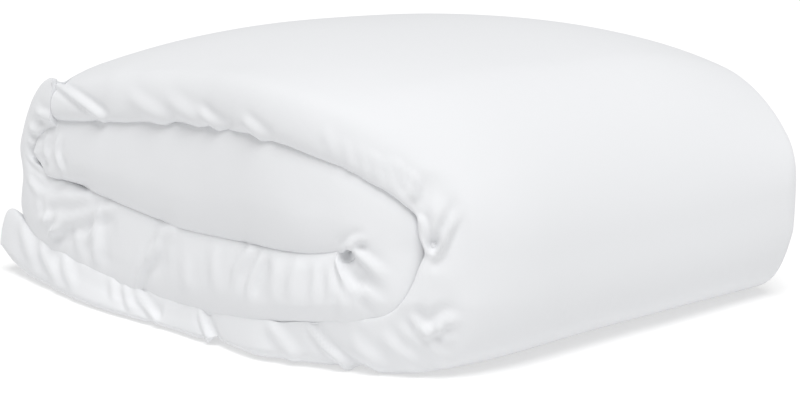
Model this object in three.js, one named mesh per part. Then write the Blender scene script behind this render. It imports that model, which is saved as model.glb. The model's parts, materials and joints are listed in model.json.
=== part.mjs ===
// A duvet in its cover, folded in quarters to a long strip and then rolled up loosely into a flat bundle.
//
// Frame: millimetres, +Z up, the origin under the middle of the bundle on the surface it lies on.
// The strip starts as a tail at -X, runs along the bottom to +X, turns over in the outer fold, runs back
// along the top, turns under in the left fold, runs to +X inside, turns in the inner fold and ends inside
// the left fold. -Y is the side where the quarter fold shows, +Y the side with the hems.
//
// Every piece is a layer of the strip. A place in the strip has three coordinates: the fold station across
// it (which ply, and where on it), the distance along the roll, and the depth through one ply, from the
// side that faces the other half of the quarter fold (0) to the side that faces out (the ply's thickness).

import * as THREE from 'three';

// ---- Driving sizes, mm ----
const ROLL_WIDTH = 626; // X, from the tail's end to the outer fold
const ROLL_DEPTH = 555; // Y, a quarter of the duvet's 2200 mm width, and a little air in the folds
const OUTER_RUN = 35; // thickness of four plies at the bottom and on top, where the roll pulls tight
const INNER_RUN = 66; // thickness of four plies inside the roll
const TAIL = 22; // how far the bottom run sticks out past the left fold
const CROWN = 0.38; // how much the middle of the bundle stands higher than its edges, as a share
const CORNER_RADIUS = 80; // in plan
const CORNER_SHARE = 0.8; // how much of the quarter circle the corner takes: near 1 a panel's two sides would cross
const FRONT_FOLD = 30; // reach of the quarter fold's round edge, Y
const BACK_FOLD = 16; // reach of the half fold's round edge, Y
const HEM_INSET = 5; // how far the hems stop short of the half fold
const INNER_CORE = 1.5; // radius left open in the middle of the inner fold
const SHELL = 1.2; // a cover panel with the insert's own shell under it
const CLEARANCE = 0.7; // between layers that touch
const SEAM_SHARE = 0.14; // how much of its last step round a fold a pocket leaves to the seam
const BAFFLE = 0.8; // a wall between two rows of pockets
const TAIL_TAPER = 34; // length over which the tail thins to its end
const TAIL_THIN = 0.4; // share of its thickness that the tail loses there
const END_THIN = 0.6; // and the inner end, past the middle of the left fold
const END_REACH = 0.55; // how far the inner end reaches into the left fold, as a share of the room
const BUTTON_RADIUS = 5.5;
const BUTTON_HEIGHT = 2.4;
const BUTTONS_PER_PLY = 2;
const LABEL = { width: 32, drop: 58, thickness: 0.8, stitched: 2 };
const LABEL_X = -120;
const PLIES = 4;
const ROW_GAP = 4; // least distance between two rows of vertices in a layer

// ---- Sizes that follow ----
const HALF_WIDTH = ROLL_WIDTH / 2;
const HALF_DEPTH = ROLL_DEPTH / 2;
const HEIGHT = 2 * OUTER_RUN + 2 * INNER_RUN; // at the edges, without the crown
const AXIS_Z = HEIGHT / 2; // both right-hand folds turn about this height
const RIGHT_X = HALF_WIDTH - HEIGHT / 2 + CLEARANCE / 2; // where the right-hand folds begin
const LEFT_RADIUS = (HEIGHT - OUTER_RUN) / 2;
const LEFT_X = -HALF_WIDTH + TAIL + LEFT_RADIUS;
const LEFT_CAVITY = LEFT_RADIUS - (OUTER_RUN + INNER_RUN) / 2; // half-way round the left fold
const END_X = LEFT_X - END_REACH * LEFT_CAVITY;
const BACK_EDGE = HALF_DEPTH - LABEL.thickness - CLEARANCE; // the label hangs behind the strip's edge
const FRONT_Y = -HALF_DEPTH + FRONT_FOLD; // where the front folds begin
const BACK_Y = BACK_EDGE - BACK_FOLD;
const HEM_Y = BACK_EDGE - HEM_INSET;

// Layers that lie on each other share these places, so that their flat faces nest
const MIDDLE_X = (LEFT_X + RIGHT_X) / 2;
const GRID_X = [LEFT_X, (LEFT_X + MIDDLE_X) / 2, MIDDLE_X, (MIDDLE_X + RIGHT_X) / 2, RIGHT_X];
const GRID_SHARES = [0, 0.2, 0.8, 1];
const GRID_Y = GRID_SHARES.map((share) => THREE.MathUtils.lerp(FRONT_Y, BACK_Y, share));

// ---- The strip's path in the XZ plane ----
// Each run gives, at a share t of its length, a point on the strip's outer side and the inward normal.

const even = (steps) => Array.from({ length: steps + 1 }, (_, i) => i / steps);

const straight = (x0, x1, z, up, extra = []) => ({
  length: Math.abs(x1 - x0),
  shares: [x0, ...extra, ...GRID_X, x1].map((x) => (x - x0) / (x1 - x0)).sort((a, b) => a - b),
  at: (t) => ({ x: x0 + (x1 - x0) * t, z, nx: 0, nz: up }),
});

const turn = (x, z, radius, middle, start, sweep, steps) => ({
  length: middle * Math.PI,
  shares: even(steps),
  at: (t) => {
    const angle = THREE.MathUtils.degToRad(start + sweep * t);
    const [c, s] = [Math.cos(angle), Math.sin(angle)];
    return { x: x + radius * c, z: z + radius * s, nx: -c, nz: -s };
  },
});

const INNER_THICKNESS = INNER_RUN - INNER_CORE;
const RUNS = [
  { thick: [OUTER_RUN, OUTER_RUN],
    ...straight(-HALF_WIDTH, RIGHT_X, 0, 1, [-HALF_WIDTH + TAIL_TAPER]) },
  { thick: [OUTER_RUN, OUTER_RUN],
    ...turn(RIGHT_X, AXIS_Z, AXIS_Z, AXIS_Z - OUTER_RUN / 2, -90, 180, 8) },
  { thick: [OUTER_RUN, OUTER_RUN],
    ...straight(RIGHT_X, LEFT_X, HEIGHT, -1) },
  { thick: [OUTER_RUN, INNER_THICKNESS],
    ...turn(LEFT_X, OUTER_RUN + LEFT_RADIUS, LEFT_RADIUS, LEFT_RADIUS - OUTER_RUN / 2, 90, 180, 6) },
  { thick: [INNER_THICKNESS, INNER_THICKNESS],
    ...straight(LEFT_X, RIGHT_X, OUTER_RUN, 1) },
  { thick: [INNER_THICKNESS, INNER_THICKNESS],
    ...turn(RIGHT_X, AXIS_Z, INNER_RUN, INNER_RUN / 2, -90, 180, 8) },
  { thick: [INNER_THICKNESS, INNER_THICKNESS],
    ...straight(RIGHT_X, END_X, HEIGHT - OUTER_RUN, -1) },
];
let travelled = 0;
for (const run of RUNS) {
  run.start = travelled;
  travelled += run.length;
  run.end = travelled;
}
const ROLL_LENGTH = travelled;
const [BOTTOM, OUTER_FOLD, TOP, LEFT_FOLD, LOWER, INNER_FOLD, UPPER] = RUNS;
const FLAP_START = OUTER_FOLD.end;

const smooth = (t) => t * t * (3 - 2 * t);
const nearEnd = (distance, length) => THREE.MathUtils.clamp(1 - distance / length, 0, 1);

/** The strip at a distance along the roll: its outer point, inward normal and the thickness of a ply. */
function stripAt(along) {
  const run = RUNS.find(({ end }) => along <= end + 1e-6);
  const t = THREE.MathUtils.clamp((along - run.start) / run.length, 0, 1);
  const point = run.at(t);
  let thickness = THREE.MathUtils.lerp(run.thick[0], run.thick[1], smooth(t));
  thickness *= 1 - TAIL_THIN * nearEnd(along, TAIL_TAPER);
  const pinch = (END_THIN * thickness * nearEnd(ROLL_LENGTH - along, LEFT_X - END_X)) / 2;
  thickness -= 2 * pinch;
  const settled = run === BOTTOM ? CLEARANCE / 2 : 0; // the bottom run's skin lies on the surface itself
  return {
    x: point.x + point.nx * pinch,
    z: point.z + point.nz * pinch - settled,
    nx: point.nx,
    nz: point.nz,
    ply: thickness / PLIES,
  };
}

// ---- The quarter fold's section in the Y direction ----
// A fold station gives y and the distance in from the strip's outer side, for a depth in a ply of thickness p.
// Going across the duvet the plies are 4 (innermost), 1 (outermost), 2 and 3, joined by three round folds.

const flat = (y, level) => ({ at: (depth, p) => ({ y, inward: level(depth, p) }) });
const fold = (y, reach, centre, radius, full, angle) => ({
  at: (depth, p) => ({
    y: y + reach * (radius(depth, p) / full(p)) * Math.sin(angle),
    inward: centre(p) + radius(depth, p) * Math.cos(angle),
  }),
});

const LEVELS = {
  4: (depth, p) => 3 * p + depth,
  1: (depth, p) => p - depth,
  2: (depth, p) => p + depth,
  3: (depth, p) => 3 * p - depth,
};
const FOLDS = {
  outerFront: (angle) => fold(FRONT_Y, -FRONT_FOLD, (p) => 2 * p, (d, p) => p + d,
    (p) => 2 * p - CLEARANCE / 2, angle),
  back: (angle) => fold(BACK_Y, BACK_FOLD, (p) => p, (d) => d, (p) => p, Math.PI - angle),
  innerFront: (angle) => fold(FRONT_Y, -FRONT_FOLD, (p) => 2 * p, (d, p) => p - d, (p) => 2 * p,
    Math.PI - angle),
};

const across = (ply, ys) => ys.map((y) => flat(y, LEVELS[ply]));
const towardsBack = GRID_Y;
const towardsFront = [...GRID_Y].reverse();

const QUARTER = Math.PI / 2;
const QUARTER_STEPS = { outerFront: 2, back: 1, innerFront: 2 };
/** The stations of the first or second quarter turn of a fold, without the one that a flat ends on. */
const quarter = (name, half) => {
  const steps = QUARTER_STEPS[name];
  const stations = Array.from({ length: steps + 1 }, (_, i) => FOLDS[name](QUARTER * (half + i / steps)));
  return half === 0 ? stations.slice(1) : stations.slice(0, -1);
};

const PLY_ORDER = [4, 1, 2, 3];
const PLY_STATIONS = {
  4: [flat(HEM_Y, LEVELS[4]), ...across(4, towardsFront), ...quarter('outerFront', 0)],
  1: [...quarter('outerFront', 1), ...across(1, towardsBack), ...quarter('back', 0)],
  2: [...quarter('back', 1), ...across(2, towardsFront), ...quarter('innerFront', 0)],
  3: [...quarter('innerFront', 1), ...across(3, towardsBack), flat(HEM_Y, LEVELS[3])],
};
const ALL_STATIONS = PLY_ORDER.flatMap((ply, i) => PLY_STATIONS[ply].slice(i === 0 ? 0 : 1));

/** A station between two others, a share of the straight line from the first to the second. */
const between = (first, second, share) => ({ first, second, share });

/** The stations of the pocket in a ply, which stops short of the seams on the folds beside it. */
function pocketStations(ply) {
  const stations = [...PLY_STATIONS[ply]];
  const last = stations.length - 1;
  if (ply !== PLY_ORDER[0]) {
    stations[0] = between(stations[0], stations[1], SEAM_SHARE);
  }
  if (ply !== PLY_ORDER[PLIES - 1]) {
    stations[last] = between(stations[last], stations[last - 1], SEAM_SHARE);
  }
  return stations;
}

// ---- From the strip to the bundle ----

/** The bundle's own shape: round corners in plan, and a crown that is gone where the folds turn. */
function settle(x, y, z) {
  const past = CORNER_SHARE * Math.max(0, Math.abs(x) - (HALF_WIDTH - CORNER_RADIUS));
  const inset = CORNER_RADIUS - Math.sqrt(Math.max(0, CORNER_RADIUS ** 2 - past ** 2));
  const settledY = y * (1 - inset / HALF_DEPTH);
  const alongX = THREE.MathUtils.clamp((x + HALF_WIDTH) / (RIGHT_X + HALF_WIDTH), 0, 1);
  const alongY = Math.min(1, Math.abs(y) / Math.min(-FRONT_Y, BACK_Y));
  const crown = 1 + CROWN * Math.sin(Math.PI * alongX) ** 2 * (1 - alongY ** 4);
  return new THREE.Vector3(x, settledY, z * crown);
}

/** The distances along the roll at which every layer has a row of vertices. */
const GRID_ALONG = RUNS.flatMap((run) => run.shares.map((share) => run.start + run.length * share))
  .filter((distance, i, all) => i === 0 || distance > all[i - 1] + 1e-6);

function placeOnGrid(station, along, depthOf) {
  const strip = stripAt(along);
  const { y, inward } = station.at(depthOf(strip.ply), strip.ply);
  return settle(strip.x + strip.nx * inward, y, strip.z + strip.nz * inward);
}

/**
 * The place in the bundle of a fold station, a distance along the roll and a depth in the ply. Between two
 * rows of the grid it is on the straight line from one to the other, so that neighbours' flat faces nest.
 */
function place(station, along, depthOf) {
  if (station.first) {
    return place(station.first, along, depthOf).lerp(place(station.second, along, depthOf), station.share);
  }
  const next = Math.max(1, GRID_ALONG.findIndex((distance) => distance >= along - 1e-6));
  const [from, to] = [GRID_ALONG[next - 1], GRID_ALONG[next]];
  const share = (along - from) / (to - from);
  return placeOnGrid(station, from, depthOf).lerp(placeOnGrid(station, to, depthOf), share);
}

/** A closed solid between two depths, over a grid of fold stations and distances along the roll. */
function layer(stations, distances, inner, outer) {
  const [columns, rows] = [stations.length, distances.length];
  const positions = [];
  for (const depthOf of [inner, outer]) {
    for (const distance of distances) {
      for (const station of stations) {
        positions.push(...place(station, distance, depthOf).toArray());
      }
    }
  }
  const at = (side, j, i) => side * columns * rows + j * columns + i;
  const faces = [];
  const rise = (a, c) => (positions[3 * c] - positions[3 * a]) * (positions[3 * c + 1] - positions[3 * a + 1]);
  /** Two triangles. The edge between them runs the same way in plan in every layer, so that layers nest. */
  const quad = (a, b, c, d) => {
    if (rise(a, c) >= rise(b, d)) {
      faces.push(a, c, b, a, d, c);
    } else {
      faces.push(a, d, b, b, d, c);
    }
  };
  for (let j = 0; j + 1 < rows; j += 1) {
    for (let i = 0; i + 1 < columns; i += 1) {
      quad(at(0, j, i), at(0, j, i + 1), at(0, j + 1, i + 1), at(0, j + 1, i));
      quad(at(1, j, i), at(1, j + 1, i), at(1, j + 1, i + 1), at(1, j, i + 1));
    }
  }
  for (let i = 0; i + 1 < columns; i += 1) {
    quad(at(0, 0, i), at(1, 0, i), at(1, 0, i + 1), at(0, 0, i + 1));
    const last = rows - 1;
    quad(at(0, last, i), at(0, last, i + 1), at(1, last, i + 1), at(1, last, i));
  }
  for (let j = 0; j + 1 < rows; j += 1) {
    quad(at(0, j, 0), at(0, j + 1, 0), at(1, j + 1, 0), at(1, j, 0));
    const last = columns - 1;
    quad(at(0, j, last), at(1, j, last), at(1, j + 1, last), at(0, j + 1, last));
  }
  const geometry = new THREE.BufferGeometry();
  geometry.setAttribute('position', new THREE.Float32BufferAttribute(positions, 3));
  geometry.setIndex(faces);
  geometry.computeVertexNormals();
  return geometry;
}

/** The distances between from and to: both ends, and the rows of the grid that lie well between them. */
function distancesBetween(from, to) {
  return [from, ...GRID_ALONG.filter((d) => d > from + ROW_GAP && d < to - ROW_GAP), to];
}

// ---- Finishes ----
const finish = (color, roughness) => new THREE.MeshStandardMaterial({ color, roughness, metalness: 0 });
const FINISHES = {
  cover: finish(0xf3f4f6, 0.85),
  backPanel: finish(0xeef0f3, 0.85),
  filling: finish(0xfafafa, 0.95),
  baffle: finish(0xe9ebee, 0.9),
  button: finish(0xf7f5ef, 0.35),
  label: finish(0xf5f5f2, 0.7),
};

function piece(name, geometry, material) {
  const mesh = new THREE.Mesh(geometry, material);
  mesh.name = name;
  return mesh;
}

// ---- The cover: a face panel and a back panel, each in three stretches ----
const STRETCHES = {
  bottom: [0, BOTTOM.end - CLEARANCE / 2],
  outer_fold: [BOTTOM.end + CLEARANCE / 2, FLAP_START - CLEARANCE / 2],
  flap: [FLAP_START + CLEARANCE / 2, ROLL_LENGTH],
};

function makeCover() {
  const group = new THREE.Group();
  const edge = CLEARANCE / 2;
  for (const [stretch, [from, to]] of Object.entries(STRETCHES)) {
    const distances = distancesBetween(from, to);
    group.add(piece(`cover_face_${stretch}`,
      layer(ALL_STATIONS, distances, (p) => p - edge - SHELL, (p) => p - edge), FINISHES.cover));
    group.add(piece(`cover_back_${stretch}`,
      layer(ALL_STATIONS, distances, () => edge, () => edge + SHELL), FINISHES.backPanel));
  }
  return group;
}

// ---- The insert: filled pockets in rows along the roll and a column in each ply, and walls between rows ----
const PLACKET = LEFT_X - END_X; // the cover goes on past the insert at the inner end, and buttons up there
const INSERT_END = ROLL_LENGTH - PLACKET;
const halfWay = (run) => (run.start + run.end) / 2;
const atMiddleX = (run) => run.start + Math.abs(MIDDLE_X - run.at(0).x);
const ROW_ENDS = [
  0, atMiddleX(BOTTOM), BOTTOM.end, // the bottom run's two rows
  OUTER_FOLD.end, // one row goes round the outer fold
  atMiddleX(TOP), halfWay(LEFT_FOLD), atMiddleX(LOWER), halfWay(INNER_FOLD), atMiddleX(UPPER), INSERT_END,
];
const INSERT_INSET = 6; // the insert stops this far from the cover's seam at the tail

const insertInner = () => CLEARANCE * 1.5 + SHELL;
const insertOuter = (p) => p - CLEARANCE * 1.5 - SHELL;

function makeInsert() {
  const group = new THREE.Group();
  const wallSpace = BAFFLE + 1.5 * CLEARANCE;
  for (let row = 0; row + 1 < ROW_ENDS.length; row += 1) {
    const from = ROW_ENDS[row] + (row === 0 ? INSERT_INSET : wallSpace);
    const to = ROW_ENDS[row + 1] - (row + 2 === ROW_ENDS.length ? 0 : wallSpace);
    const distances = distancesBetween(from, to);
    for (const ply of PLY_ORDER) {
      group.add(piece(`filled_pocket_row${row + 1}_ply${ply}`,
        layer(pocketStations(ply), distances, insertInner, insertOuter), FINISHES.filling));
    }
  }
  for (let row = 1; row + 1 < ROW_ENDS.length; row += 1) {
    const onFlap = ROW_ENDS[row] >= FLAP_START - 1e-6;
    const shift = onFlap ? BAFFLE / 2 + CLEARANCE / 2 : -BAFFLE / 2 - CLEARANCE / 2;
    const middle = Math.abs(ROW_ENDS[row] - BOTTOM.end) < 1e-6 || Math.abs(ROW_ENDS[row] - FLAP_START) < 1e-6
      ? ROW_ENDS[row] + shift : ROW_ENDS[row];
    group.add(piece(`baffle_${row}`,
      layer(ALL_STATIONS, [middle - BAFFLE / 2, middle + BAFFLE / 2], insertInner, insertOuter),
      FINISHES.baffle));
  }
  return group;
}

// ---- The closure: buttons inside the placket at the inner end ----
function makeButtons() {
  const group = new THREE.Group();
  const along = ROLL_LENGTH - PLACKET / 2;
  const middle = (p) => p / 2;
  let number = 1;
  for (const ply of PLY_ORDER) {
    for (let i = 0; i < BUTTONS_PER_PLY; i += 1) {
      const share = THREE.MathUtils.inverseLerp(GRID_SHARES[1], GRID_SHARES[2], (i + 0.5) / BUTTONS_PER_PLY);
      const station = between(flat(GRID_Y[1], LEVELS[ply]), flat(GRID_Y[2], LEVELS[ply]), share);
      const centre = place(station, along, middle);
      const alongRoll = place(station, along + 1, middle).sub(place(station, along - 1, middle));
      const normal = alongRoll.cross(new THREE.Vector3(0, 1, 0)).normalize();
      const button = piece(`button_${number}`,
        new THREE.CylinderGeometry(BUTTON_RADIUS, BUTTON_RADIUS, BUTTON_HEIGHT, 16), FINISHES.button);
      button.position.copy(centre);
      button.quaternion.setFromUnitVectors(new THREE.Vector3(0, 1, 0), normal);
      group.add(button);
      number += 1;
    }
  }
  return group;
}

// ---- The care label: sewn into the top run's hem, it hangs down over the back ----
function makeLabel() {
  const label = piece('care_label',
    new THREE.BoxGeometry(LABEL.width, LABEL.thickness, LABEL.drop), FINISHES.label);
  const stitchZ = HEIGHT - OUTER_RUN + LABEL.stitched;
  const backY = BACK_EDGE + CLEARANCE;
  label.position.set(LABEL_X, backY + LABEL.thickness / 2, stitchZ - LABEL.drop / 2);
  return label;
}

const duvet = new THREE.Group();
duvet.add(makeCover(), makeInsert(), makeButtons(), makeLabel());

export default duvet;
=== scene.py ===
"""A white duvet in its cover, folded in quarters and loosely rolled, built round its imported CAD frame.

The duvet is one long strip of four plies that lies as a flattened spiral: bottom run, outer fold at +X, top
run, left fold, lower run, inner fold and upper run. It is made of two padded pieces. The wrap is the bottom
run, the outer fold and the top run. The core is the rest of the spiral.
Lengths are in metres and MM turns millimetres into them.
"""

from __future__ import annotations

import json
import logging
from dataclasses import dataclass
from enum import Enum

import bpy
import numpy as np
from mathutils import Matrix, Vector

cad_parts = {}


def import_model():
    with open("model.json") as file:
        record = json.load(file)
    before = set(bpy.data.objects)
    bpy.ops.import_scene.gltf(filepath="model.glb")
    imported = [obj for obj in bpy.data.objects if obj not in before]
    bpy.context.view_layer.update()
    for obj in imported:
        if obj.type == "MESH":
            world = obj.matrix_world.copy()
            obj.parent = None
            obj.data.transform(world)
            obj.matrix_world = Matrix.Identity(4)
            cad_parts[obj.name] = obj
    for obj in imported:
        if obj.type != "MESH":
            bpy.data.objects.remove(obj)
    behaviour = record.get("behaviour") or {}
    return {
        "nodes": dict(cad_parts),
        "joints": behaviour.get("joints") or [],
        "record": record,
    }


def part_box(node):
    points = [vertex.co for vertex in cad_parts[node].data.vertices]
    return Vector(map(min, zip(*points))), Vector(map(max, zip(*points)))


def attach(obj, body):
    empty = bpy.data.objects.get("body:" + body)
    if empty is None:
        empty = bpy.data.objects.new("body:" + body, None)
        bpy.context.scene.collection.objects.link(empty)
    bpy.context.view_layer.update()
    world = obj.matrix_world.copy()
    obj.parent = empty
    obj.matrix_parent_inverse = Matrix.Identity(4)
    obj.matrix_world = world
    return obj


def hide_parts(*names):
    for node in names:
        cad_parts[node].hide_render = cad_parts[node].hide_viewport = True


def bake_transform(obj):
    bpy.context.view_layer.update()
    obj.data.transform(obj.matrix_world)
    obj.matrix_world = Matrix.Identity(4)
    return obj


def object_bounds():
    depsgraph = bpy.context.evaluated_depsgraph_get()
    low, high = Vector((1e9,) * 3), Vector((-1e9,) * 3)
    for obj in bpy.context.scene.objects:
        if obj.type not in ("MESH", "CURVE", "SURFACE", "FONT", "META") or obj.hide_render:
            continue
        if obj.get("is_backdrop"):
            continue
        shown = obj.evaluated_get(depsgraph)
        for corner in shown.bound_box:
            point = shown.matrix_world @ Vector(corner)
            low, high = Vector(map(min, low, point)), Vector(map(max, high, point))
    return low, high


MM = 0.001
LOG = logging.getLogger("duvet")
Array = np.ndarray


# ---- Small helpers ----


def smooth(t: Array) -> Array:
    """Smooth step: 0 below 0, 1 above 1, and a cubic with level ends between."""
    t = np.clip(t, 0.0, 1.0)
    return t * t * (3.0 - 2.0 * t)


def bell(distance: Array, width: float) -> Array:
    """A Gaussian bell: 1 at distance 0 and about a third at the width."""
    return np.exp(-((distance / width) ** 2))


def lattice_noise(points: Array, cell: float, seed: int) -> Array:
    """Smooth noise: random values on a cubic lattice, blended with the smooth step along each axis.

    Args:
        points: places, shape (..., 3).
        cell: lattice spacing in metres.
        seed: seed of the random values.

    Returns:
        Values from -1 to 1, shape (...).
    """
    size = 64
    table = np.random.default_rng(seed).uniform(-1.0, 1.0, (size, size, size))
    scaled = points / cell + 1000.0
    low = np.floor(scaled).astype(int)
    part = smooth(scaled - low)
    total = np.zeros(points.shape[:-1])
    for corner in np.ndindex(2, 2, 2):
        index = (low + corner) % size
        weight = np.prod(np.where(np.array(corner) == 1, part, 1.0 - part), axis=-1)
        total += weight * table[index[..., 0], index[..., 1], index[..., 2]]
    return total


def grid_normals(points: Array) -> Array:
    """Unit normals of a grid of points, which closes on itself along its second axis.

    Formula: the cross product of the central differences along the two axes.
    """
    along = np.gradient(points, axis=0)
    across = np.roll(points, -1, axis=1) - np.roll(points, 1, axis=1)
    normal = np.cross(across, along)
    return normal / np.maximum(np.linalg.norm(normal, axis=-1, keepdims=True), 1e-12)


def distance_to_line(x: Array, z: Array, line: Array) -> tuple[Array, Array, Array]:
    """Distance from points to a polyline in the XZ plane.

    Args:
        x: X of the points.
        z: Z of the points.
        line: the polyline's corners, shape (n, 2).

    Returns:
        The unsigned distance, the side (+1 to the left of the line's direction), and the share of the
        line's length at the nearest point.
    """
    best = np.full(x.shape, np.inf)
    side, share = np.zeros(x.shape), np.zeros(x.shape)
    spans = np.diff(line, axis=0)
    lengths = np.linalg.norm(spans, axis=1)
    starts = np.concatenate([[0.0], np.cumsum(lengths)])
    for corner, span, length, start in zip(line, spans, lengths, starts):
        dx, dz = x - corner[0], z - corner[1]
        t = np.clip((dx * span[0] + dz * span[1]) / length**2, 0.0, 1.0)
        ex, ez = dx - t * span[0], dz - t * span[1]
        distance = np.hypot(ex, ez)
        nearer = distance < best
        best = np.where(nearer, distance, best)
        side = np.where(nearer, np.sign(span[0] * ez - span[1] * ex), side)
        share = np.where(nearer, (start + t * length) / starts[-1], share)
    return best, side, share


def bend_through(corners: Array, steps: int = 8) -> Array:
    """A smooth polyline through a few corners, by Catmull-Rom curves between them."""
    padded = np.vstack([2 * corners[0] - corners[1], corners, 2 * corners[-1] - corners[-2]])
    t = np.linspace(0.0, 1.0, steps, endpoint=False)[:, None]
    spans = [
        0.5 * (2 * b + (c - a) * t + (2 * a - 5 * b + 4 * c - d) * t**2 + (3 * b - a - 3 * c + d) * t**3)
        for a, b, c, d in zip(padded, padded[1:], padded[2:], padded[3:])
    ]
    return np.vstack([*spans, corners[-1:]])


def srgb(code: str) -> tuple[float, float, float, float]:
    """A linear colour with alpha 1 from an sRGB hex code such as "F2F3F5"."""
    values = [int(code[i : i + 2], 16) / 255 for i in (0, 2, 4)]
    linear = [v / 12.92 if v <= 0.04045 else ((v + 0.055) / 1.055) ** 2.4 for v in values]
    return (*linear, 1.0)


# ---- The roll's shape ----


@dataclass
class Roll:
    """The spiral that the strip follows, and the shape that the whole bundle has settled into.

    The heights, the folds' place and the depth come from the frame.
    """

    width: float
    depth: float
    axis_x: float
    axis_z: float
    outer_run: float = 35 * MM
    inner_run: float = 66 * MM
    tail: float = 22 * MM
    tail_puff: float = 48 * MM  # how much thicker the tail is at its end, where nothing lies on it
    tail_puff_power: float = 2.5
    core_gap: float = 3 * MM
    end_reach: float = 40 * MM  # how far the inner end reaches into the left fold
    late: tuple[float, float] = (0.25, 0.55)  # where in a run it changes thickness: start and length, shares
    right_powers: tuple[float, float] = (3.1, 2.15)  # the folds' superellipse powers, below and above
    left_powers: tuple[float, float] = (3.0, 1.95)

    def __post_init__(self) -> None:
        """Works out the left fold's place and the length of each run."""
        self.height = 2 * self.axis_z
        self.left_radius = (self.height - self.outer_run) / 2
        self.left_x = -self.width / 2 + self.tail + self.left_radius
        self.end_x = self.left_x - self.end_reach
        flat = self.axis_x - self.left_x
        self.lengths = np.array([
            self.axis_x + self.width / 2,
            np.pi * (self.axis_z - self.outer_run / 2),
            flat,
            np.pi * (self.left_radius - self.outer_run / 2),
            flat,
            np.pi * self.inner_run / 2,
            self.axis_x - self.end_x,
        ])
        self.starts = np.concatenate([[0.0], np.cumsum(self.lengths)])

    def strip(self, s: Array) -> tuple[Array, Array, Array]:
        """The strip's outer side, inward normal and thickness at distances along the roll.

        Straight runs step along X at a fixed height, and folds are arcs about their centres.

        Args:
            s: distances along the roll.

        Returns:
            Points (n, 2) in XZ, unit normals (n, 2) and thicknesses (n,).
        """
        run = np.clip(np.searchsorted(self.starts, s, side="right") - 1, 0, 6)
        t = (s - self.starts[run]) / self.lengths[run]
        left_z = self.outer_run + self.left_radius
        inner = self.inner_run - self.core_gap / 2
        straight = {0: (-self.width / 2, self.axis_x, 0.0, 1.0),
                    2: (self.axis_x, self.left_x, self.height, -1.0),
                    4: (self.left_x, self.axis_x, self.outer_run, 1.0),
                    6: (self.axis_x, self.end_x, self.height - self.outer_run, -1.0)}
        turned = {1: (self.axis_x, self.axis_z, self.axis_z, -90.0),
                  3: (self.left_x, left_z, self.left_radius, 90.0),
                  5: (self.axis_x, self.axis_z, self.inner_run, -90.0)}
        point, normal = np.zeros((len(s), 2)), np.zeros((len(s), 2))
        for index, (x0, x1, z, up) in straight.items():
            here = run == index
            point[here] = np.stack([x0 + (x1 - x0) * t[here], np.full(here.sum(), z)], 1)
            normal[here] = (0.0, up)
        for index, (x, z, radius, start) in turned.items():
            here = run == index
            angle = np.radians(start + 180.0 * t[here])
            ray = np.stack([np.cos(angle), np.sin(angle)], 1)
            point[here] = np.array([x, z]) + radius * ray
            normal[here] = -ray
        first = np.array([self.outer_run] * 4 + [inner] * 3)[run]
        last = np.array([self.outer_run] * 3 + [inner] * 4)[run]
        late = smooth((t - self.late[0]) / self.late[1])
        thickness = first + (last - first) * late
        under = np.clip((self.left_x - point[:, 0]) / (self.left_x + self.width / 2), 0.0, 1.0)
        puff = self.tail_puff * under**self.tail_puff_power
        return point, normal, thickness + np.where(run == 0, puff, 0.0)

    def square_folds(self, x: Array, z: Array, core: bool) -> tuple[Array, Array]:
        """Makes the round folds squarer, as a superellipse about each fold's centre.

        Formula: the radius at angle a grows by (|cos a|^n + |sin a|^n)^(-1/n), with n above 2.

        Args:
            x: X of the points before settling.
            z: Z of the points before settling.
            core: whether the points belong to the core, which also goes round the left fold.
        """
        x, z = self.square(x, z, x > self.axis_x, (self.axis_x, self.axis_z), self.right_powers)
        if core:
            left_z = self.outer_run + self.left_radius
            x, z = self.square(x, z, x < self.left_x, (self.left_x, left_z), self.left_powers)
        return x, z

    @staticmethod
    def square(x: Array, z: Array, here: Array, centre: tuple[float, float],
               powers: tuple[float, float]) -> tuple[Array, Array]:
        """Makes one fold squarer, with one power below its centre and another above."""
        dx, dz = x - centre[0], z - centre[1]
        radius = np.maximum(np.hypot(dx, dz), 1e-9)
        power = np.where(dz < 0, powers[0], powers[1])
        grow = (np.abs(dx / radius) ** power + np.abs(dz / radius) ** power) ** (-1 / power)
        grow = np.where(here, grow, 1.0)
        return centre[0] + dx * grow, centre[1] + dz * grow


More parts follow.
